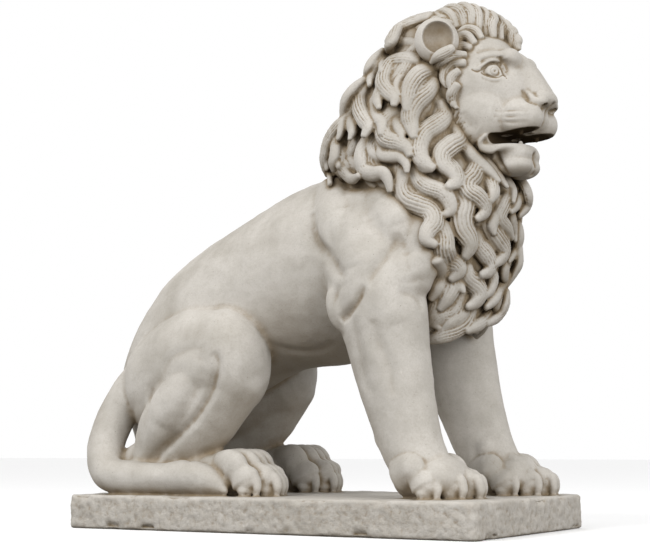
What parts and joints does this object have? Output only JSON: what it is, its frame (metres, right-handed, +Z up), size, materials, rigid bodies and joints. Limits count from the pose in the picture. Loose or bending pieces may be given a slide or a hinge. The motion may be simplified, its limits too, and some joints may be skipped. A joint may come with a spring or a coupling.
{
  "type": "lion statue",
  "caption": "Seated stone lion with an open mouth and a long curled mane, its tail laid beside its right haunch, carved in one block with the low slab under it.",
  "frame": {"origin": "middle of the slab's underside", "axes": "+X the way the lion faces, +Y its left side, +Z up"},
  "size_m": [1.0936, 0.5733, 1.1514],
  "materials": {
    "stone": "weathered pale grey-beige carved stone with fine pits and brown dirt in the recesses"
  },
  "bodies": {
    "root": {"lion_statue": "stone"}
  },
  "joints": []
}
